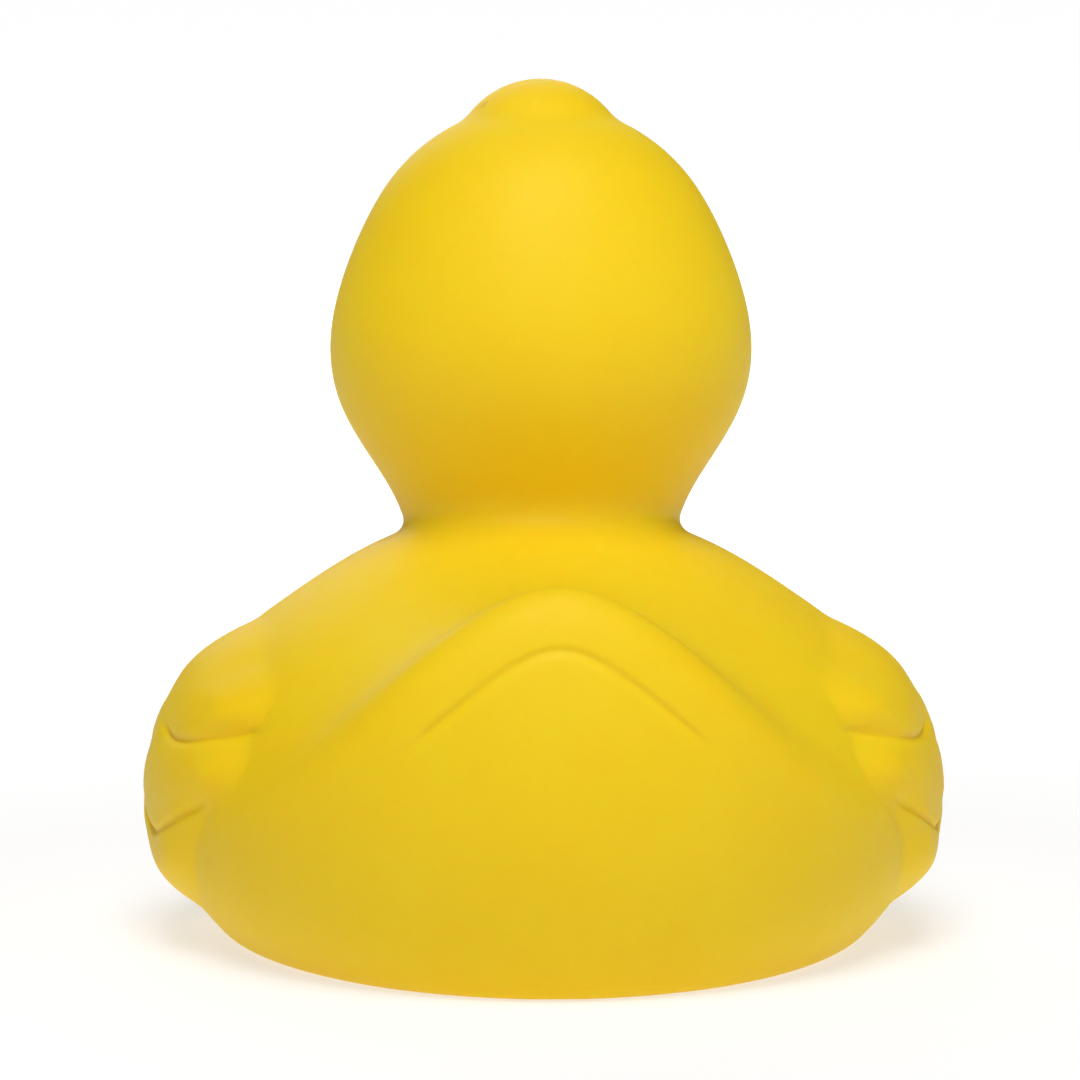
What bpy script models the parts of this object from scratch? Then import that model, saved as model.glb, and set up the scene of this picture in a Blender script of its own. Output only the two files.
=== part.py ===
"""Bath duck: a hollow one-piece vinyl moulding with a press-in squeaker.

The duck stands on Z = 0 and looks along -Y, with its tail at +Y. Its form is written as
signed distances in millimetres, and the finished meshes are in metres.
"""
import math

import bmesh
import bpy
import numpy as np

MM = 0.001

# Driving dimensions, in millimetres
WALL = 1.9                  # vinyl thickness
FLOOR = 3.0                 # thicker floor that grips the squeaker
FINE_CELL = 1.0             # mesh cell in which the form is first made
BODY_TRIANGLES = 8600
CAVITY_TRIANGLES = 1300

BODY_CENTRE = (0.0, -2.0, 13.0)
BODY_HALF_WIDTH = 35.4
BODY_FRONT, BODY_REAR = 34.5, 40.0
BODY_UP, BODY_DOWN = 24.7, 21.6
SHOULDER_CENTRE, SHOULDER_RADII, SHOULDER_BLEND = (0.0, -4.5, 26.2), (18.5, 21.5, 12.0), 7.0
TAIL_CENTRE = 2.0           # middle of the stern's plan section along Y
TAIL_FRONT_SHARE = 0.75     # its reach forwards, as a share of its reach backwards
TAIL_RIM_SLOPE = 1.05       # fall of the tail rim towards each side
TAIL_RIM_ROUND = 10.0       # rounding of the rim over the middle
TAIL_RIM_EDGE = 4.0         # rounding between the deck and the stern
DECK_SLOPE = 0.2            # rise of the deck towards the tail
TAIL_BLEND = 5.5            # fillet between tail and breast
BASE_FILLET = 1.2

WING_RISE = 2.2
WING_BLEND = 0.25           # softness of the valleys between feathers
WING_FADE = (8, 16)         # distance from the middle over which the wing appears
# domed wing, then three feathers: (y, z, half length, half height, tilt in degrees, edge width),
# where the edge width is how far in it takes to reach full height
WING_LOBES = ((-0.5, 16.6, 20.0, 13.4, 6.0, 5.5),
              (6.4, 21.6, 13.6, 5.6, 9.0, 4.6),
              (8.0, 16.6, 14.2, 6.0, 8.0, 4.6),
              (1.6, 9.2, 14.2, 6.6, 6.0, 5.0))

HEAD_Y = -9.0
CROWN_Z, CROWN_RADIUS, CROWN_HALF_LENGTH = 59.6, 17.7, 18.4
CHEEK_Z, CHEEK_HALF_WIDTH, CHEEK_HALF_HEIGHT, CHEEK_BLEND = 53.7, 19.8, 15.6, 4.0
NECK_Y, NECK_RADIUS, NECK_BLEND = -7.5, 12.4, 6.5
NECK_BOTTOM, NECK_TOP, NECK_END_BLEND = 30, 50, 2.0
CREASE_FRONT, CREASE_REAR = 1.4, 3.6        # fillet under the head at the breast and at the back
CREASE_SPAN = (-8, 6)                       # where along Y the one turns into the other
TUFT_CENTRE, TUFT_RADII, TUFT_BLEND = (0.0, -11.0, 71.0), (8.5, 10.5, 8.6), 0.6
UPPER_BILL, UPPER_BILL_RADII, BILL_BLEND = (0.0, -30.0, 52.4), (9.4, 12.2, 3.1), 2.0
LOWER_BILL, LOWER_BILL_RADII, MOUTH_BLEND = (0.0, -29.0, 49.3), (8.0, 9.8, 2.7), 0.5
EYE_CENTRE, EYE_RADII, EYE_BLEND = (8.8, -24.3, 60.6), (2.9, 2.4, 3.6), 0.4
CAVITY_NECK_BLEND, CAVITY_FLOOR_BLEND = 3.0, 2.0

RECESS_RADIUS, RECESS_DEPTH = 12.0, 1.2
HOLE_RADIUS = 7.0
GAP = 0.3                   # between the squeaker and the vinyl
FLANGE_RADIUS, FLANGE_THICKNESS = 9.5, 0.7
BARB_RADIUS, BARB_TOP, PLUG_TOP, PLUG_TAPER = 7.7, 5.0, 7.0, 1.0
AIR_HOLE_RADIUS = 1.5
SHARP_ANGLE = 40            # edges steeper than this stay crisp

YELLOW = (0.92, 0.66, 0.03, 1.0)
IVORY = (0.80, 0.78, 0.70, 1.0)


def smooth_min(a, b, reach):
    """Union of two distances, blended over a reach in millimetres."""
    h = np.maximum(reach - np.abs(a - b), 0) / reach
    return np.minimum(a, b) - h * h * reach / 4


def smooth_max(a, b, reach):
    return -smooth_min(-a, -b, reach)


def ramp(value, low, high):
    t = np.clip((value - low) / (high - low), 0, 1)
    return t * t * (3 - 2 * t)


def curve(points):
    """Natural cubic spline through (x, y) points, held level beyond its ends."""
    xs, ys = np.array(points, float).T
    count, step = len(xs), np.diff(xs)
    matrix, right = np.eye(count), np.zeros(count)
    for i in range(1, count - 1):
        matrix[i, i - 1:i + 2] = step[i - 1], 2 * (step[i - 1] + step[i]), step[i]
        right[i] = 6 * ((ys[i + 1] - ys[i]) / step[i] - (ys[i] - ys[i - 1]) / step[i - 1])
    bend = np.linalg.solve(matrix, right)

    def at(x):
        x = np.clip(x, xs[0], xs[-1])
        i = np.clip(np.searchsorted(xs, x) - 1, 0, count - 2)
        d = step[i]
        a = (xs[i + 1] - x) / d
        b = 1 - a
        return a * ys[i] + b * ys[i + 1] + ((a**3 - a) * bend[i] + (b**3 - b) * bend[i + 1]) * d * d / 6
    return at


def egg(p, centre, width, length, height):
    """Ellipsoid; length and height may be (minus side, plus side) pairs."""
    x, y, z = (p - centre).T
    length = np.where(y < 0, *length) if isinstance(length, tuple) else length
    height = np.where(z < 0, *height) if isinstance(height, tuple) else height
    k = np.sqrt((x / width)**2 + (y / length)**2 + (z / height)**2)
    slope = np.sqrt((x / width**2)**2 + (y / length**2)**2 + (z / height**2)**2) + 1e-9
    return k * (k - 1) / slope


# Stern seen from the side and its half width, both by height; tail ridge height by length
stern_reach = curve([(-8, 34.5), (0, 38.4), (5, 40.6), (11, 42.1), (17, 42.5), (25, 41.6),
                     (32, 39.6), (38, 37.2), (44, 34.4)])
stern_half_width = curve([(-8, 19.5), (0, 26.5), (4, 29.9), (9, 32.3), (15, 33.6), (25, 33.8), (45, 33.8)])
ridge_height = curve([(-40, 20), (0, 29.5), (12, 33.0), (20, 34.2), (27, 35.0), (33, 36.2),
                      (38, 37.4), (46, 39.5)])


def torso(p):
    """Rounded breast and back."""
    breast = egg(p, BODY_CENTRE, BODY_HALF_WIDTH, (BODY_FRONT, BODY_REAR), (BODY_DOWN, BODY_UP))
    return smooth_min(breast, egg(p, SHOULDER_CENTRE, *SHOULDER_RADII), SHOULDER_BLEND)


def tail(p):
    """Stern, cut above by a deck that leaves a raised rim."""
    x, y, z = p.T
    reach, half_width, along = stern_reach(z) - TAIL_CENTRE, stern_half_width(z), y - TAIL_CENTRE
    reach = np.where(along < 0, TAIL_FRONT_SHARE * reach, reach)
    k = np.sqrt((x / half_width)**2 + (along / reach)**2) + 1e-9
    plan = (k - 1) * k / np.sqrt((x / half_width**2)**2 + (along / reach**2)**2 + 1e-12)
    bow = np.sqrt(x * x + TAIL_RIM_ROUND**2)
    deck = ridge_height(y) - TAIL_RIM_SLOPE * (bow - TAIL_RIM_ROUND)
    above = (z - deck) / np.sqrt(1 + (TAIL_RIM_SLOPE * x / bow)**2 + DECK_SLOPE**2)
    return smooth_max(plan, above, TAIL_RIM_EDGE)


def wing_rise(p):
    """Height of the folded wing over the side, 0 to 1."""
    y, z = p[:, 1], p[:, 2]
    rise = np.zeros(len(p))
    for centre_y, centre_z, half_length, half_height, tilt, edge_width in WING_LOBES:
        c, s = math.cos(math.radians(tilt)), math.sin(math.radians(tilt))
        u = ((y - centre_y) * c + (z - centre_z) * s) / half_length
        v = (-(y - centre_y) * s + (z - centre_z) * c) / half_height
        k = np.hypot(u, v)
        inwards = k * (1 - k) / (np.hypot(u / half_length, v / half_height) + 1e-9)
        edge = 1 - np.clip(inwards / edge_width, 0, 1)
        rise = smooth_max(rise, 1 - edge * edge, WING_BLEND)
    return np.maximum(rise - WING_BLEND / 4, 0) * ramp(np.abs(p[:, 0]), *WING_FADE)


def head_core(p):
    crown = egg(p, (0.0, HEAD_Y, CROWN_Z), CROWN_RADIUS, CROWN_HALF_LENGTH, CROWN_RADIUS)
    cheeks = egg(p, (0.0, HEAD_Y, CHEEK_Z), CHEEK_HALF_WIDTH, CHEEK_HALF_WIDTH, CHEEK_HALF_HEIGHT)
    neck = np.hypot(p[:, 0], p[:, 1] - NECK_Y) - NECK_RADIUS
    neck = smooth_max(neck, p[:, 2] - NECK_TOP, NECK_END_BLEND)
    neck = smooth_max(neck, NECK_BOTTOM - p[:, 2], NECK_END_BLEND)
    return smooth_min(smooth_min(crown, cheeks, CHEEK_BLEND), neck, NECK_BLEND)


def head(p):
    """Head with its tuft, bill and low-relief eyes."""
    d = smooth_min(head_core(p), egg(p, TUFT_CENTRE, *TUFT_RADII), TUFT_BLEND)
    d = smooth_min(d, egg(p, UPPER_BILL, *UPPER_BILL_RADII), BILL_BLEND)
    d = smooth_min(d, egg(p, LOWER_BILL, *LOWER_BILL_RADII), MOUTH_BLEND)
    folded = np.column_stack((np.abs(p[:, 0]), p[:, 1:]))
    return smooth_min(d, egg(folded, EYE_CENTRE, *EYE_RADII), EYE_BLEND)


def duck_outside(p):
    winged = smooth_min(torso(p), tail(p), TAIL_BLEND) - WING_RISE * wing_rise(p)
    crease = CREASE_FRONT + (CREASE_REAR - CREASE_FRONT) * ramp(p[:, 1], *CREASE_SPAN)
    return smooth_max(smooth_min(winged, head(p), crease), -p[:, 2], BASE_FILLET)


def duck_inside(p):
    """Cavity: the plain form without wings, tuft and bill, one wall further in."""
    plain = smooth_min(smooth_min(torso(p), tail(p), TAIL_BLEND), head_core(p), CAVITY_NECK_BLEND)
    return smooth_max(plain + WALL, FLOOR - p[:, 2], CAVITY_FLOOR_BLEND)


def slope_of(form, p, step=0.02):
    """Gradient of a distance at each point."""
    slope = np.empty_like(p)
    for axis in range(3):
        offset = np.zeros(3)
        offset[axis] = step
        slope[:, axis] = (form(p + offset) - form(p - offset)) / (2 * step)
    return slope


def settle(form, p, rounds, longest_move=1.5):
    """Move points along the slope until they lie on the form's surface."""
    for _ in range(rounds):
        slope = slope_of(form, p)
        move = slope * (form(p) / np.maximum((slope**2).sum(1), 0.05))[:, None]
        length = np.linalg.norm(move, axis=1)
        p = p - move * np.minimum(1, longest_move / np.maximum(length, 1e-9))[:, None]
    return p


def relax(p, edges, rounds=2):
    """Even out the spacing of neighbouring points."""
    for _ in range(rounds):
        total, count = np.zeros_like(p), np.zeros(len(p))
        for near, far in (edges.T, edges.T[::-1]):
            np.add.at(total, near, p[far])
            np.add.at(count, near, 1)
        p = p + 0.5 * (total / count[:, None] - p)
    return p


def collect(object_name, mesh):
    item = bpy.data.objects.new(object_name, mesh)
    bpy.context.collection.objects.link(item)
    return item


def evaluated_mesh(item):
    graph = bpy.context.evaluated_depsgraph_get()
    return bpy.data.meshes.new_from_object(item.evaluated_get(graph))


def rough_mesh(blobs, cell):
    """Overlapping balls fused into one even quad mesh."""
    bm = bmesh.new()
    for centre, radii in blobs:
        ball = bmesh.ops.create_uvsphere(bm, u_segments=32, v_segments=16, radius=1.0)["verts"]
        for vert in ball:
            vert.co = [(c + r * v) * MM for c, r, v in zip(centre, radii, vert.co)]
    mesh = bpy.data.meshes.new("rough")
    bm.to_mesh(mesh)
    bm.free()
    item = collect("rough", mesh)
    remesh = item.modifiers.new("Even cells", "REMESH")
    remesh.mode = "VOXEL"
    remesh.voxel_size = cell * MM
    even = evaluated_mesh(item)
    bpy.data.objects.remove(item)
    return even


def mould(name, form, blobs, triangles):
    """Closed mesh of a form, thinned where it is smooth."""
    mesh = rough_mesh(blobs, FINE_CELL)
    points = np.empty(len(mesh.vertices) * 3)
    mesh.vertices.foreach_get("co", points)
    points = points.reshape(-1, 3) / MM
    edges = np.empty(len(mesh.edges) * 2, int)
    mesh.edges.foreach_get("vertices", edges)
    edges = edges.reshape(-1, 2)

    points = settle(form, points, 12)
    for _ in range(10):
        points = settle(form, relax(points, edges), 2)
    points = settle(form, points, 4)
    mesh.vertices.foreach_set("co", (points * MM).ravel())
    mesh.update()

    item = collect(name, mesh)
    thin = item.modifiers.new("Thin out", "DECIMATE")
    thin.ratio = triangles / (2 * len(mesh.polygons))
    thin.use_collapse_triangulate = True
    item.data = evaluated_mesh(item)
    item.modifiers.remove(thin)
    return item


def make_cutter(item):
    item.hide_render = True
    item.display_type = "WIRE"
    return item


def turned(name, profile, segments=32):
    """Solid of revolution round Z from (radius, height) points; a closed loop makes a ring."""
    bm = bmesh.new()
    verts = [bm.verts.new((radius * MM, 0, height * MM)) for radius, height in profile]
    ring = [bm.edges.new((a, b)) for a, b in zip(verts, verts[1:] + verts[:1])]
    bmesh.ops.spin(bm, geom=verts + ring, cent=(0, 0, 0), axis=(0, 0, 1),
                   angle=math.tau, steps=segments, use_merge=True)
    bmesh.ops.remove_doubles(bm, verts=bm.verts, dist=1e-6)
    bmesh.ops.recalc_face_normals(bm, faces=bm.faces)
    mesh = bpy.data.meshes.new(name)
    bm.to_mesh(mesh)
    bm.free()
    return collect(name, mesh)


def drum(name, radius, bottom, top, segments=48):
    bm = bmesh.new()
    bmesh.ops.create_cone(bm, cap_ends=True, segments=segments, radius1=radius * MM, radius2=radius * MM,
                          depth=(top - bottom) * MM)
    bmesh.ops.translate(bm, verts=bm.verts, vec=(0, 0, (top + bottom) / 2 * MM))
    mesh = bpy.data.meshes.new(name)
    bm.to_mesh(mesh)
    bm.free()
    return collect(name, mesh)


def cut(item, cutter):
    boolean = item.modifiers.new(cutter.name, "BOOLEAN")
    boolean.operation = "DIFFERENCE"
    boolean.solver = "EXACT"
    boolean.object = make_cutter(cutter)


def plastic(name, colour, roughness):
    material = bpy.data.materials.new(name)
    material.use_nodes = True
    shader = material.node_tree.nodes["Principled BSDF"]
    shader.inputs["Base Color"].default_value = colour
    shader.inputs["Roughness"].default_value = roughness
    shader.inputs["Metallic"].default_value = 0.0
    return material


def finish(item, material):
    item.data.materials.clear()
    item.data.materials.append(material)
    item.data.shade_smooth()
    item.data.set_sharp_from_angle(angle=math.radians(SHARP_ANGLE))


def make_duck_body():
    # rough balls for breast, stern, tail, head, neck, tuft and bill that the form then shapes
    neck_middle = (NECK_BOTTOM + NECK_TOP) / 2
    blobs = [(BODY_CENTRE, (BODY_HALF_WIDTH, BODY_REAR - 2, BODY_UP)), ((0, 14, 18), (30, 28, 20)),
             ((0, 30, 28), (12, 9, 10)), ((0, HEAD_Y, CHEEK_Z), (CHEEK_HALF_WIDTH,) * 3),
             ((0, NECK_Y, neck_middle), (NECK_RADIUS,) * 3), (TUFT_CENTRE, TUFT_RADII)]
    bill = [((0, UPPER_BILL[1], (UPPER_BILL[2] + LOWER_BILL[2]) / 2), (9, 12, 4.5))]
    body = mould("duck_body", duck_outside, blobs + bill, BODY_TRIANGLES)
    cavity = mould("cavity", duck_inside, [(c, [r - WALL for r in radii]) for c, radii in blobs[:5]],
                   CAVITY_TRIANGLES)
    cut(body, cavity)
    cut(body, drum("base_recess", RECESS_RADIUS, -1.0, RECESS_DEPTH))
    cut(body, drum("squeaker_hole", HOLE_RADIUS, -1.0, FLOOR + 2))
    finish(body, plastic("yellow_vinyl", YELLOW, 0.5))


def make_squeaker():
    """Flange below, a groove that holds the vinyl floor, a barb and a small air hole."""
    flange_top = RECESS_DEPTH - GAP
    neck_radius = HOLE_RADIUS - GAP
    flange_bottom = flange_top - FLANGE_THICKNESS
    profile = [(AIR_HOLE_RADIUS, flange_bottom), (FLANGE_RADIUS, flange_bottom), (FLANGE_RADIUS, flange_top),
               (neck_radius, flange_top), (neck_radius, FLOOR + GAP), (BARB_RADIUS, FLOOR + GAP),
               (BARB_RADIUS, BARB_TOP), (neck_radius - PLUG_TAPER, PLUG_TOP), (AIR_HOLE_RADIUS, PLUG_TOP)]
    finish(turned("squeaker", profile), plastic("ivory_plastic", IVORY, 0.4))


for old in list(bpy.data.objects):
    bpy.data.objects.remove(old)
make_duck_body()
make_squeaker()
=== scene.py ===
import math

import bmesh
import bpy
import numpy as np
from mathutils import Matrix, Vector


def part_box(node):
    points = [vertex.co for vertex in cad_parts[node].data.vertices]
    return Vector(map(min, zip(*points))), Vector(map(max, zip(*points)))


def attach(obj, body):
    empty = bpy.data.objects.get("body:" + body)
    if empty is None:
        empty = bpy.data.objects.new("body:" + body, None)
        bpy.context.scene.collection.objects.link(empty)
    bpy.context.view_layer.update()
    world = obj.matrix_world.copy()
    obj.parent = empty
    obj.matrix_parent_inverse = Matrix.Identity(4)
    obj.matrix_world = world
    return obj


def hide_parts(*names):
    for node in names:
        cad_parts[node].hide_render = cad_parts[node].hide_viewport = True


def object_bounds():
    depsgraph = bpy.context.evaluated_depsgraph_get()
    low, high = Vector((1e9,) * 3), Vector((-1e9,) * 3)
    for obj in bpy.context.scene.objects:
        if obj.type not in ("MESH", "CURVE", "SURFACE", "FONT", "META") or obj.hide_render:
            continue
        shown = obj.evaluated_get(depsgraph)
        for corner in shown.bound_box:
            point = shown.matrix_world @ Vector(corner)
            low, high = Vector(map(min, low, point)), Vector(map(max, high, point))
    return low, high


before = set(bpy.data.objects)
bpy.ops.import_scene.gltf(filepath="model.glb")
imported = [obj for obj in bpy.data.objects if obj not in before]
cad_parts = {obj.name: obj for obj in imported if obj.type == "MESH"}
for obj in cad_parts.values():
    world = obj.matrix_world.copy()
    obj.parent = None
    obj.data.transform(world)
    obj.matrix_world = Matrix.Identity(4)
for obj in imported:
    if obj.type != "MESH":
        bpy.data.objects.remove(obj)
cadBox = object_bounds()

mm = 0.001
standHeight = cadBox[1].z - cadBox[0].z
print("frame loaded, the duck is", round(standHeight / mm, 1), "mm tall")


def smoothMin(a, b, reach):
    h = np.maximum(reach - np.abs(a - b), 0) / reach
    return np.minimum(a, b) - h * h * reach / 4


def smoothMax(a, b, reach):
    return -smoothMin(-a, -b, reach)


def ramp(value, low, high):
    t = np.clip((value - low) / (high - low), 0, 1)
    return t * t * (3 - 2 * t)


def curveThrough(points):
    # natural cubic spline, level beyond its ends
    xs, ys = np.array(points, float).T
    count, step = len(xs), np.diff(xs)
    matrix, right = np.eye(count), np.zeros(count)
    for i in range(1, count - 1):
        matrix[i, i - 1:i + 2] = step[i - 1], 2 * (step[i - 1] + step[i]), step[i]
        right[i] = 6 * ((ys[i + 1] - ys[i]) / step[i] - (ys[i] - ys[i - 1]) / step[i - 1])
    bend = np.linalg.solve(matrix, right)

    def at(x):
        x = np.clip(x, xs[0], xs[-1])
        i = np.clip(np.searchsorted(xs, x) - 1, 0, count - 2)
        d = step[i]
        a = (xs[i + 1] - x) / d
        b = 1 - a
        return a * ys[i] + b * ys[i + 1] + ((a**3 - a) * bend[i] + (b**3 - b) * bend[i + 1]) * d * d / 6
    return at


def egg(p, centre, width, length, height):
    # length and height may be (minus side, plus side)
    x, y, z = (p - centre).T
    length = np.where(y < 0, *length) if isinstance(length, tuple) else length
    height = np.where(z < 0, *height) if isinstance(height, tuple) else height
    k = np.sqrt((x / width)**2 + (y / length)**2 + (z / height)**2)
    slope = np.sqrt((x / width**2)**2 + (y / length**2)**2 + (z / height**2)**2) + 1e-9
    return k * (k - 1) / slope


def mirrored(p):
    # both halves measured on the +X side
    return np.column_stack((np.abs(p[:, 0]), p[:, 1:]))


torso = {
    "centre": (0.0, -2.0, 13.0), "halfWidth": 35.4,
    "front": 34.5, "rear": 40.0, "up": 24.7, "down": 21.6,
    "shoulderCentre": (0.0, -4.5, 26.2), "shoulderRadii": (18.5, 21.5, 12.0), "shoulderBlend": 7.0,
    "baseFillet": 1.2,
}

tail = {
    "centreY": 2.0, "frontShare": 0.75,
    "rimSlope": 1.05, "rimRound": 10.0, "rimBlend": 4.0, "deckSlope": 0.2, "bodyBlend": 5.5,
    "reachByHeight": curveThrough([(-8, 34.5), (0, 38.4), (5, 40.6), (11, 42.1), (17, 42.5), (25, 41.6),
                                   (32, 39.6), (38, 37.2), (44, 34.4)]),
    "halfWidthByHeight": curveThrough([(-8, 19.5), (0, 26.5), (4, 29.9), (9, 32.3), (15, 33.6), (25, 33.8),
                                       (45, 33.8)]),
    "ridgeByLength": curveThrough([(-40, 20), (0, 29.5), (12, 33.0), (20, 34.2), (27, 35.0), (33, 36.2),
                                   (38, 37.4), (46, 39.5)]),
    # the single engraved feather line on the stern
    "lineTop": 31.4, "lineSlope": 0.95, "lineRound": 5.0, "lineEnd": 15.0, "lineFade": 4.0,
    "lineDepth": 0.34, "lineWidth": 0.42, "lineStart": (28, 32),   # it appears over this length
}


def torsoForm(p):
    t = torso
    breast = egg(p, t["centre"], t["halfWidth"], (t["front"], t["rear"]), (t["down"], t["up"]))
    return smoothMin(breast, egg(p, t["shoulderCentre"], *t["shoulderRadii"]), t["shoulderBlend"])


def tailForm(p):
    x, y, z = p.T
    along = y - tail["centreY"]
    reach = tail["reachByHeight"](z) - tail["centreY"]
    reach = np.where(along < 0, tail["frontShare"] * reach, reach)
    halfWidth = tail["halfWidthByHeight"](z)
    k = np.sqrt((x / halfWidth)**2 + (along / reach)**2) + 1e-9
    plan = (k - 1) * k / np.sqrt((x / halfWidth**2)**2 + (along / reach**2)**2 + 1e-12)
    bow = np.sqrt(x * x + tail["rimRound"]**2)
    deck = tail["ridgeByLength"](y) - tail["rimSlope"] * (bow - tail["rimRound"])
    above = (z - deck) / np.sqrt(1 + (tail["rimSlope"] * x / bow)**2 + tail["deckSlope"]**2)
    return smoothMax(plan, above, tail["rimBlend"])


def sternLine(p):
    # depth of the engraved arch, fading at both ends
    x, y, z = p.T
    bow = np.sqrt(x * x + tail["lineRound"]**2)
    height = tail["lineTop"] - tail["lineSlope"] * (bow - tail["lineRound"])
    across = (z - height) / np.sqrt(1 + (tail["lineSlope"] * x / bow)**2)
    fade = 1 - ramp(np.abs(x), tail["lineEnd"] - tail["lineFade"], tail["lineEnd"])
    engraved = np.exp(-(across / tail["lineWidth"])**2) * ramp(y, *tail["lineStart"])
    return tail["lineDepth"] * fade * engraved


wing = {
    "rise": 2.2, "blend": 0.25, "startX": 8, "fullX": 16,
    # domed wing, then three feathers: centre y, centre z, half length, half height, tilt in degrees,
    # width over which it rounds down to the side
    "lobes": ((-0.5, 16.6, 20.0, 13.4, 6.0, 5.5),
              (6.4, 21.6, 13.6, 5.6, 9.0, 4.6),
              (8.0, 16.6, 14.2, 6.0, 8.0, 4.6),
              (1.6, 9.2, 14.2, 6.6, 6.0, 5.0)),
    # engraved lines between the feathers, as z by y
    "grooves": (curveThrough([(3, 21.0), (7, 19.9), (12, 19.8), (17, 20.7), (22, 22.4)]),
                curveThrough([(-1, 12.6), (3, 10.9), (8, 11.0), (13, 12.6), (20, 16.0)])),
    "grooveEnds": ((3, 22), (-1, 20)),
    "grooveDepth": 0.36, "grooveWidth": 0.38, "grooveFade": 4.0,
    "dipDepth": 0.30, "dipWidth": 1.9,                  # the soft dip that each line lies in
}


def wingRise(p):
    y, z = p[:, 1], p[:, 2]
    rise = np.zeros(len(p))
    for centreY, centreZ, halfLength, halfHeight, tilt, edgeWidth in wing["lobes"]:
        c, s = math.cos(math.radians(tilt)), math.sin(math.radians(tilt))
        u = ((y - centreY) * c + (z - centreZ) * s) / halfLength
        v = (-(y - centreY) * s + (z - centreZ) * c) / halfHeight
        k = np.hypot(u, v)
        inwards = k * (1 - k) / (np.hypot(u / halfLength, v / halfHeight) + 1e-9)
        edge = 1 - np.clip(inwards / edgeWidth, 0, 1)
        rise = smoothMax(rise, 1 - edge * edge, wing["blend"])
    return np.maximum(rise - wing["blend"] / 4, 0) * ramp(np.abs(p[:, 0]), wing["startX"], wing["fullX"])


def wingGrooves(p):
    y, z = p[:, 1], p[:, 2]
    depth = np.zeros(len(p))
    for heightAt, (start, end) in zip(wing["grooves"], wing["grooveEnds"]):
        slope = (heightAt(y + 0.1) - heightAt(y - 0.1)) / 0.2
        across = (z - heightAt(y)) / np.sqrt(1 + slope * slope)
        fade = ramp(y, start, start + wing["grooveFade"]) * (1 - ramp(y, end - wing["grooveFade"], end))
        line = wing["grooveDepth"] * np.exp(-(across / wing["grooveWidth"])**2)
        depth += fade * (line + wing["dipDepth"] * np.exp(-(across / wing["dipWidth"])**2))
    return depth * ramp(np.abs(p[:, 0]), wing["startX"], wing["fullX"])


head = {
    "y": -9.0, "crownZ": 59.6, "crownRadii": (17.7, 18.4, 17.7),
    "cheekZ": 53.7, "cheekRadii": (19.8, 19.8, 15.6), "cheekBlend": 4.0,
    "neckY": -7.5, "neckRadius": 12.4, "neckTop": 50, "neckBottom": 30, "neckBlend": 6.5, "neckEndBlend": 2.0,
    "tuftCentre": (0.0, -11.0, 71.0), "tuftRadii": (8.5, 10.5, 8.6), "tuftBlend": 0.6,
    "creaseFront": 1.4, "creaseRear": 3.6, "creaseSpan": (-8, 6),   # fillet under the head, by length
}

bill = {
    "upper": (0.0, -30.0, 52.4), "upperRadii": (9.4, 12.2, 3.1), "upperBlend": 2.0,
    "lower": (0.0, -29.0, 49.3), "lowerRadii": (8.0, 9.8, 2.7), "lowerBlend": 0.5,
    "paintMargin": 0.5,
}

eye = {
    "centre": (8.8, -24.3, 60.6), "radii": (2.9, 2.4, 3.6), "blend": 0.4,
    "whiteMargin": 0.35, "pupil": (9.0, -25.6, 60.8), "pupilRadius": 1.9,
    "glint": (8.3, -26.8, 62.0), "glintRadius": 0.6,
}


def headForm(p):
    h = head
    crown = egg(p, (0.0, h["y"], h["crownZ"]), *h["crownRadii"])
    cheeks = egg(p, (0.0, h["y"], h["cheekZ"]), *h["cheekRadii"])
    neck = np.hypot(p[:, 0], p[:, 1] - h["neckY"]) - h["neckRadius"]
    neck = smoothMax(neck, p[:, 2] - h["neckTop"], h["neckEndBlend"])
    neck = smoothMax(neck, h["neckBottom"] - p[:, 2], h["neckEndBlend"])
    return smoothMin(smoothMin(crown, cheeks, h["cheekBlend"]), neck, h["neckBlend"])


def billForm(p):
    upper = egg(p, bill["upper"], *bill["upperRadii"])
    return smoothMin(upper, egg(p, bill["lower"], *bill["lowerRadii"]), bill["lowerBlend"])


def faceForm(p):
    d = smoothMin(headForm(p), egg(p, head["tuftCentre"], *head["tuftRadii"]), head["tuftBlend"])
    d = smoothMin(d, egg(p, bill["upper"], *bill["upperRadii"]), bill["upperBlend"])
    d = smoothMin(d, egg(p, bill["lower"], *bill["lowerRadii"]), bill["lowerBlend"])
    return smoothMin(d, egg(mirrored(p), eye["centre"], *eye["radii"]), eye["blend"])


def duckForm(p):
    plain = smoothMin(torsoForm(p), tailForm(p), tail["bodyBlend"])
    winged = plain - wing["rise"] * wingRise(p) + wingGrooves(p) + sternLine(p)
    share = ramp(p[:, 1], *head["creaseSpan"])
    crease = head["creaseFront"] + (head["creaseRear"] - head["creaseFront"]) * share
    return smoothMax(smoothMin(winged, faceForm(p), crease), -p[:, 2], torso["baseFillet"])


shell = {"wall": 1.9, "floor": 3.0, "floorBlend": 2.0, "neckBlend": 3.0, "cell": 2.2}


def cavityForm(p):
    hull = smoothMin(torsoForm(p), tailForm(p), tail["bodyBlend"])
    plain = smoothMin(hull, headForm(p), shell["neckBlend"])
    return smoothMax(plain + shell["wall"], shell["floor"] - p[:, 2], shell["floorBlend"])


def slopeOf(form, p, step=0.02):
    slope = np.empty_like(p)
    for axis in range(3):
        offset = np.zeros(3)
        offset[axis] = step
        slope[:, axis] = (form(p + offset) - form(p - offset)) / (2 * step)
    return slope


def settle(form, p, rounds, longestMove=1.5):
    for _ in range(rounds):
        slope = slopeOf(form, p)
        move = slope * (form(p) / np.maximum((slope**2).sum(1), 0.05))[:, None]
        length = np.linalg.norm(move, axis=1)
        p = p - move * np.minimum(1, longestMove / np.maximum(length, 1e-9))[:, None]
    return p


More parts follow.
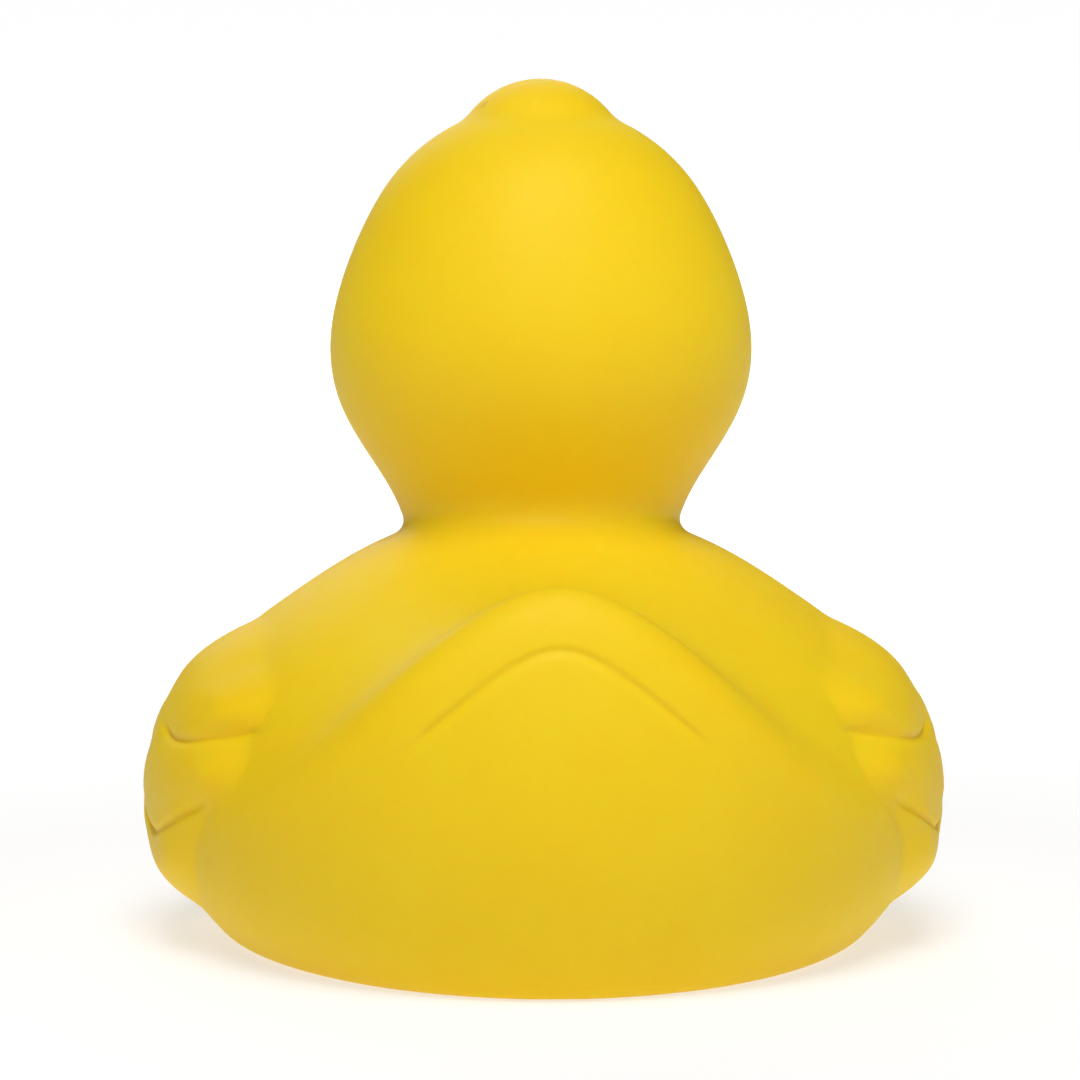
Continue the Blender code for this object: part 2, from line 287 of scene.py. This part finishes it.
def relax(p, edges, rounds=2):
    for _ in range(rounds):
        total, count = np.zeros_like(p), np.zeros(len(p))
        for near, far in (edges.T, edges.T[::-1]):
            np.add.at(total, near, p[far])
            np.add.at(count, near, 1)
        p = p + 0.5 * (total / count[:, None] - p)
    return p


def readPoints(mesh):
    points = np.empty(len(mesh.vertices) * 3)
    mesh.vertices.foreach_get("co", points)
    return points.reshape(-1, 3) / mm


def writePoints(mesh, points):
    mesh.vertices.foreach_set("co", (points * mm).ravel())
    mesh.update()


def readEdges(mesh):
    edges = np.empty(len(mesh.edges) * 2, int)
    mesh.edges.foreach_get("vertices", edges)
    return edges.reshape(-1, 2)


def addObject(name, mesh):
    item = bpy.data.objects.new(name, mesh)
    bpy.context.scene.collection.objects.link(item)
    return item


def applied(item):
    # the mesh with its modifiers, as one new mesh
    graph = bpy.context.evaluated_depsgraph_get()
    mesh = bpy.data.meshes.new_from_object(item.evaluated_get(graph))
    bpy.data.objects.remove(item)
    return mesh


def roughMesh(blobs, cell):
    bm = bmesh.new()
    for centre, radii in blobs:
        ball = bmesh.ops.create_uvsphere(bm, u_segments=32, v_segments=16, radius=1.0)["verts"]
        for vert in ball:
            vert.co = [(c + r * v) * mm for c, r, v in zip(centre, radii, vert.co)]
    mesh = bpy.data.meshes.new("rough")
    bm.to_mesh(mesh)
    bm.free()
    item = addObject("rough", mesh)
    remesh = item.modifiers.new("evenCells", "REMESH")
    remesh.mode = "VOXEL"
    remesh.voxel_size = cell * mm
    return applied(item)


def formMesh(form, blobs, cell):
    mesh = roughMesh(blobs, cell)
    points, edges = settle(form, readPoints(mesh), 10), readEdges(mesh)
    for _ in range(8):
        points = settle(form, relax(points, edges), 2)
    writePoints(mesh, settle(form, points, 3))
    return mesh


def refine(mesh, form, mostTurn):
    # splits the cells across which the surface turns by more than mostTurn degrees
    points, edges = readPoints(mesh), readEdges(mesh)
    normals = slopeOf(form, points)
    normals /= np.linalg.norm(normals, axis=1)[:, None] + 1e-12
    turn = (normals[edges[:, 0]] * normals[edges[:, 1]]).sum(1)
    sharp = turn < math.cos(math.radians(mostTurn))
    marked = np.zeros(len(points), bool)
    marked[edges[sharp].ravel()] = True
    bm = bmesh.new()
    bm.from_mesh(mesh)
    bm.verts.ensure_lookup_table()
    faces = [f for f in bm.faces if any(marked[v.index] for v in f.verts)]
    chosen = list({e for f in faces for e in f.edges})
    bmesh.ops.subdivide_edges(bm, edges=chosen, cuts=1, use_grid_fill=True)
    bmesh.ops.triangulate(bm, faces=[f for f in bm.faces if len(f.verts) > 4])
    bm.to_mesh(mesh)
    bm.free()
    writePoints(mesh, settle(form, readPoints(mesh), 3, 0.3))


def fitToBox(mesh, low, high):
    # stretches by a hair so that the piece fills the CAD node's box exactly
    points = readPoints(mesh) * mm
    ownLow, ownHigh = points.min(0), points.max(0)
    points = np.array(low) + (points - ownLow) * (np.array(high) - np.array(low)) / (ownHigh - ownLow)
    writePoints(mesh, points / mm)


def cutWith(item, cutter):
    boolean = item.modifiers.new(cutter.name, "BOOLEAN")
    boolean.operation = "DIFFERENCE"
    boolean.solver = "EXACT"
    boolean.object = cutter
    cutter.hide_render = True


def turned(name, profile, segments):
    # closed ring round Z from (radius, height) points
    bm = bmesh.new()
    verts = [bm.verts.new((radius * mm, 0, height * mm)) for radius, height in profile]
    ring = [bm.edges.new((a, b)) for a, b in zip(verts, verts[1:] + verts[:1])]
    bmesh.ops.spin(bm, geom=verts + ring, cent=(0, 0, 0), axis=(0, 0, 1),
                   angle=math.tau, steps=segments, use_merge=True)
    bmesh.ops.remove_doubles(bm, verts=bm.verts, dist=1e-6)
    bmesh.ops.recalc_face_normals(bm, faces=bm.faces)
    mesh = bpy.data.meshes.new(name)
    bm.to_mesh(mesh)
    bm.free()
    return addObject(name, mesh)


def drum(name, radius, bottom, top, segments):
    bm = bmesh.new()
    bmesh.ops.create_cone(bm, cap_ends=True, segments=segments, radius1=radius * mm, radius2=radius * mm,
                          depth=(top - bottom) * mm)
    bmesh.ops.translate(bm, verts=bm.verts, vec=(0, 0, (top + bottom) / 2 * mm))
    mesh = bpy.data.meshes.new(name)
    bm.to_mesh(mesh)
    bm.free()
    return addObject(name, mesh)


moulding = {
    "cell": 0.8, "quickCell": 1.3, "splits": (11, 13), "sharpAngle": 50,
    "recessRadius": 12.0, "recessDepth": 1.2, "holeRadius": 7.0, "segments": 96, "cutterReach": 1.0,
    "blobs": [((0, -2, 13), (35.4, 38, 24.7)), ((0, 14, 18), (30, 28, 20)), ((0, 30, 28), (12, 9, 10)),
              ((0, -9, 53.7), (19.8, 19.8, 19.8)), ((0, -7.5, 38), (12.4, 12.4, 12.4)),
              ((0, -11, 71), (8.6, 10.5, 8.6))],
    "billBlob": ((0, -30, 50.85), (9, 12, 4.5)),
}


def setPaint(mesh, name, values):
    attribute = mesh.attributes.new(name, "FLOAT", "POINT")
    attribute.data.foreach_set("value", values.astype(np.float32))


def makeMoulding():
    m = moulding
    cell = m["cell"]
    mesh = formMesh(duckForm, m["blobs"] + [m["billBlob"]], cell)
    for mostTurn in m["splits"]:
        refine(mesh, duckForm, mostTurn)
    fitToBox(mesh, *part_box("duck_body"))
    print("outside formed,", len(mesh.vertices), "points")

    inner = [(centre, [r - shell["wall"] for r in radii]) for centre, radii in m["blobs"][:5]]
    cavity = addObject("cavity", formMesh(cavityForm, inner, shell["cell"]))
    recess = drum("recess", m["recessRadius"], -m["cutterReach"], m["recessDepth"], m["segments"])
    holeTop = shell["floor"] + 2 * m["cutterReach"]
    hole = drum("hole", m["holeRadius"], -m["cutterReach"], holeTop, m["segments"])
    item = addObject("duckMoulding", mesh)
    for cutter in (cavity, recess, hole):
        cutWith(item, cutter)
    mesh = applied(item)
    for cutter in (cavity, recess, hole):
        bpy.data.objects.remove(cutter)
    mesh.name = "duckMoulding"
    item = addObject("duckMoulding", mesh)
    mesh.shade_smooth()
    mesh.set_sharp_from_angle(angle=math.radians(m["sharpAngle"]))

    points = readPoints(mesh)
    setPaint(mesh, "billPaint", bill["paintMargin"] - billForm(points))
    setPaint(mesh, "eyePaint", eye["whiteMargin"] - egg(mirrored(points), eye["centre"], *eye["radii"]))
    near = mirrored(points)
    setPaint(mesh, "pupilPaint", eye["pupilRadius"] - np.linalg.norm(near - eye["pupil"], axis=1))
    setPaint(mesh, "glintPaint", eye["glintRadius"] - np.linalg.norm(near - eye["glint"], axis=1))
    print("moulding done,", len(mesh.polygons), "faces")
    return item


squeaker = {
    "airHole": 1.5, "flangeRadius": 9.5, "flangeBottom": 0.2, "flangeTop": 0.9, "edgeRound": 0.25,
    "neckRadius": 6.7, "lipBottom": 3.3, "lipRadius": 7.7, "lipTop": 5.0, "plugTop": 7.0, "plugTaper": 1.0,
    "ringRadius": 4.2, "ringHalfWidth": 0.5, "ringDepth": 0.25, "segments": 96,
    "rimSteps": 4, "sharpAngle": 35,
}


def makeSqueaker():
    s = squeaker
    low, r = s["flangeBottom"], s["edgeRound"]
    profile = [(s["airHole"], low + r), (s["airHole"] + r, low),
               (s["ringRadius"] - s["ringHalfWidth"], low), (s["ringRadius"] - r, low + s["ringDepth"]),
               (s["ringRadius"] + r, low + s["ringDepth"]), (s["ringRadius"] + s["ringHalfWidth"], low)]
    for step in range(s["rimSteps"] + 1):      # rounded rim of the flange
        turn = math.radians(90 * step / s["rimSteps"])
        profile.append((s["flangeRadius"] - r + r * math.sin(turn), low + r - r * math.cos(turn)))
    profile += [(s["flangeRadius"], s["flangeTop"]), (s["neckRadius"], s["flangeTop"]),
                (s["neckRadius"], s["lipBottom"]), (s["lipRadius"], s["lipBottom"]),
                (s["lipRadius"], s["lipTop"]), (s["neckRadius"] - s["plugTaper"], s["plugTop"]),
                (s["airHole"], s["plugTop"])]
    item = turned("squeakerDisc", profile, s["segments"])
    item.data.shade_smooth()
    item.data.set_sharp_from_angle(angle=math.radians(s["sharpAngle"]))
    return item


class Nodes:
    # short way to add and join shader nodes
    def __init__(self, name):
        self.material = bpy.data.materials.new(name)
        self.material.use_nodes = True
        self.tree = self.material.node_tree
        self.shader = self.tree.nodes["Principled BSDF"]

    def add(self, kind, **settings):
        node = self.tree.nodes.new("ShaderNode" + kind)
        for key, value in settings.items():
            setattr(node, key, value)
        return node

    def join(self, source, target):
        self.tree.links.new(source, target)

    def noise(self, scale, detail=3.0, roughness=0.5):
        place = self.add("TexCoord")
        node = self.add("TexNoise")
        node.inputs["Scale"].default_value = scale
        node.inputs["Detail"].default_value = detail
        node.inputs["Roughness"].default_value = roughness
        self.join(place.outputs["Object"], node.inputs["Vector"])
        return node.outputs["Fac"]

    def spread(self, value, fromLow, fromHigh, toLow, toHigh):
        node = self.add("MapRange")
        limits = {"From Min": fromLow, "From Max": fromHigh, "To Min": toLow, "To Max": toHigh}
        for key, number in limits.items():
            node.inputs[key].default_value = number
        self.join(value, node.inputs["Value"])
        return node.outputs["Result"]

    def mixColour(self, factor, first, second):
        node = self.add("Mix", data_type="RGBA")
        self.join(factor, node.inputs[0])
        for socket, value in ((node.inputs[6], first), (node.inputs[7], second)):
            if isinstance(value, tuple):
                socket.default_value = (*value, 1.0)
            else:
                self.join(value, socket)
        return node.outputs[2]

    def bump(self, height, strength, distance, under=None):
        node = self.add("Bump")
        node.inputs["Strength"].default_value = strength
        node.inputs["Distance"].default_value = distance
        self.join(height, node.inputs["Height"])
        if under is not None:
            self.join(under, node.inputs["Normal"])
        return node.outputs["Normal"]

    def distanceTo(self, point):
        place = self.add("TexCoord")
        node = self.add("VectorMath", operation="DISTANCE")
        node.inputs[1].default_value = point
        self.join(place.outputs["Object"], node.inputs[0])
        return node.outputs["Value"]

    def painted(self, attributeName, blur=0.08):
        # 1 inside a painted area, 0 outside, from a distance kept on the mesh
        node = self.add("Attribute", attribute_name=attributeName)
        return self.spread(node.outputs["Fac"], -blur, blur, 0.0, 1.0)


vinylLook = {
    "yellow": (0.92, 0.595, 0.008), "paleYellow": (0.925, 0.625, 0.012),
    "orange": (0.83, 0.19, 0.01), "white": (0.86, 0.86, 0.83), "black": (0.012, 0.011, 0.011),
    "roughness": 0.55, "subsurface": 0.35, "subsurfaceDepth": 4.0 * mm,
    # small darker spots: place, radius, colour; the first and the last are marks left in the moulding, the
    # one by the tuft is just a darker orange spot
    "specks": (((5.8, 39.3, 33.5), 0.50, (0.55, 0.22, 0.01)), ((5.4, -8.4, 77.3), 0.7, (0.86, 0.48, 0.01)),
               ((-32.0, 20.0, 14.4), 0.35, (0.45, 0.20, 0.01))),
    "subsurfaceRadius": (1.0, 0.35, 0.06), "specular": 0.15,
    "toneScale": 55.0, "polishScale": 700.0, "polishSpread": 0.05,
    "grainScale": 2600.0, "grainDepth": 0.03 * mm, "grainStrength": 0.35,
    "waveScale": 90.0, "waveDepth": 0.10 * mm, "waveStrength": 0.25,
}


def makeVinyl():
    look = vinylLook
    n = Nodes("yellowVinyl")
    tone = n.spread(n.noise(look["toneScale"], 4.0, 0.6), 0.35, 0.65, 0.0, 1.0)
    colour = n.mixColour(tone, look["yellow"], look["paleYellow"])
    colour = n.mixColour(n.painted("billPaint"), colour, look["orange"])
    colour = n.mixColour(n.painted("eyePaint"), colour, look["white"])
    colour = n.mixColour(n.painted("pupilPaint"), colour, look["black"])
    colour = n.mixColour(n.painted("glintPaint"), colour, look["white"])
    for place, radius, tint in look["specks"]:
        centre = tuple(value * mm for value in place)
        spot = n.spread(n.distanceTo(centre), 0.5 * radius * mm, radius * mm, 1.0, 0.0)
        colour = n.mixColour(spot, colour, tint)
    n.join(colour, n.shader.inputs["Base Color"])
    low, high = look["roughness"] - look["polishSpread"], look["roughness"] + look["polishSpread"]
    n.join(n.spread(n.noise(look["polishScale"]), 0.3, 0.7, low, high), n.shader.inputs["Roughness"])
    n.shader.inputs["Subsurface Weight"].default_value = look["subsurface"]
    n.shader.inputs["Subsurface Radius"].default_value = look["subsurfaceRadius"]
    n.shader.inputs["Subsurface Scale"].default_value = look["subsurfaceDepth"]
    n.shader.inputs["Specular IOR Level"].default_value = look["specular"]
    wave = n.bump(n.noise(look["waveScale"], 2.0), look["waveStrength"], look["waveDepth"])
    grain = n.bump(n.noise(look["grainScale"], 2.0), look["grainStrength"], look["grainDepth"], wave)
    n.join(grain, n.shader.inputs["Normal"])
    return n.material


ivoryLook = {
    "ivory": (0.76, 0.73, 0.64), "paleIvory": (0.81, 0.79, 0.71), "roughness": 0.4,
    "toneScale": 300.0, "grainScale": 3000.0, "grainStrength": 0.2, "grainDepth": 0.02 * mm,
}


def makeIvory():
    look = ivoryLook
    n = Nodes("ivoryPlastic")
    tone = n.spread(n.noise(look["toneScale"], 3.0), 0.35, 0.65, 0.0, 1.0)
    n.join(n.mixColour(tone, look["ivory"], look["paleIvory"]), n.shader.inputs["Base Color"])
    n.shader.inputs["Roughness"].default_value = look["roughness"]
    grain = n.bump(n.noise(look["grainScale"]), look["grainStrength"], look["grainDepth"])
    n.join(grain, n.shader.inputs["Normal"])
    return n.material


studio = {
    "azimuth": 178.0, "elevation": 6.0, "distance": 0.650,
    "aimHeight": 0.465, "frameHeight": 1.267,         # shares of the duck's height
    "aimSide": -0.0004, "sensor": 36.0,
}


def makeCamera():
    s = studio
    turn, lift = math.radians(s["azimuth"]), math.radians(s["elevation"])
    back = Vector((math.sin(turn) * math.cos(lift), -math.cos(turn) * math.cos(lift), math.sin(lift)))
    side = Vector((math.cos(turn), math.sin(turn), 0))
    middle = (cadBox[0] + cadBox[1]) / 2
    aim = Vector((middle.x, 0, cadBox[0].z + s["aimHeight"] * standHeight)) + side * s["aimSide"]
    data = bpy.data.cameras.new("camera")
    data.sensor_width = s["sensor"]
    data.lens = s["sensor"] * s["distance"] / (s["frameHeight"] * standHeight)
    camera = bpy.data.objects.new("camera", data)
    camera.location = aim + back * s["distance"]
    camera.rotation_euler = back.to_track_quat("Z", "Y").to_euler()
    bpy.context.scene.collection.objects.link(camera)
    bpy.context.scene.camera = camera


def addLamp(name, place, aim, size, power, colour=(1, 1, 1)):
    data = bpy.data.lights.new(name, "AREA")
    data.shape = "DISK"
    data.size = size
    data.energy = power
    data.color = colour
    lamp = bpy.data.objects.new(name, data)
    lamp.location = place
    lamp.rotation_euler = (Vector(place) - Vector(aim)).to_track_quat("Z", "Y").to_euler()
    bpy.context.scene.collection.objects.link(lamp)


lights = {
    # name: (place, size, power, colour)
    "key": ((0.05, 0.60, 0.76), 0.55, 3.6, (1.0, 1.0, 1.0)),
    "overhead": ((0.0, 0.28, 0.88), 0.60, 4.2, (1.0, 1.0, 1.0)),
    "rightFill": ((-0.75, 0.35, 0.30), 0.5, 0.50, (1.0, 1.0, 1.0)),
    "faceFill": ((0.1, -0.80, 0.40), 0.6, 1.5, (1.0, 1.0, 1.0)),
}
floorLook = {
    "radius": 9.0, "sides": 96, "gap": 0.1 * mm, "roughness": 0.9, "colour": (0.45, 0.45, 0.45, 1.0),
    "glowNear": 0.58, "glowFar": 0.96, "nearRadius": 0.08, "farRadius": 0.42,
    "room": 0.06,
}


def makeStudio():
    # a wide round floor, lit from within away from the duck so that it fades to white
    f = floorLook
    bm = bmesh.new()
    bmesh.ops.create_circle(bm, cap_ends=True, segments=f["sides"], radius=f["radius"])
    mesh = bpy.data.meshes.new("floor")
    bm.to_mesh(mesh)
    bm.free()
    floor = addObject("floor", mesh)
    floor.location.z = -f["gap"]
    n = Nodes("palePaper")
    n.shader.inputs["Base Color"].default_value = f["colour"]
    n.shader.inputs["Roughness"].default_value = f["roughness"]
    n.shader.inputs["Emission Color"].default_value = (1, 1, 1, 1)
    glow = n.spread(n.distanceTo((0, 0, 0)), f["nearRadius"], f["farRadius"], f["glowNear"], f["glowFar"])
    n.join(glow, n.shader.inputs["Emission Strength"])
    mesh.materials.append(n.material)

    middle = (0, 0, standHeight / 2)
    for name, (place, size, power, colour) in lights.items():
        addLamp(name, place, middle, size, power, colour)
    world = bpy.data.worlds.new("softRoom")
    world.use_nodes = True
    tree = world.node_tree
    tree.nodes["Background"].inputs["Color"].default_value = (1, 1, 1, 1)
    seen = tree.nodes.new("ShaderNodeLightPath")          # white where it is looked at, dimmer as a light
    level = tree.nodes.new("ShaderNodeMapRange")
    level.inputs["To Min"].default_value = f["room"]
    level.inputs["To Max"].default_value = 1.0
    tree.links.new(seen.outputs["Is Camera Ray"], level.inputs["Value"])
    tree.links.new(level.outputs["Result"], tree.nodes["Background"].inputs["Strength"])
    bpy.context.scene.world = world
    bpy.context.scene.view_settings.view_transform = "Standard"


makeCamera()
makeStudio()
print("studio done")

duck = makeMoulding()
duck.data.materials.clear()
duck.data.materials.append(makeVinyl())
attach(duck, "root")
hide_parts("duck_body")

disc = makeSqueaker()
disc.data.materials.append(makeIvory())
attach(disc, "root")
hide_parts("squeaker")
print("squeaker done")
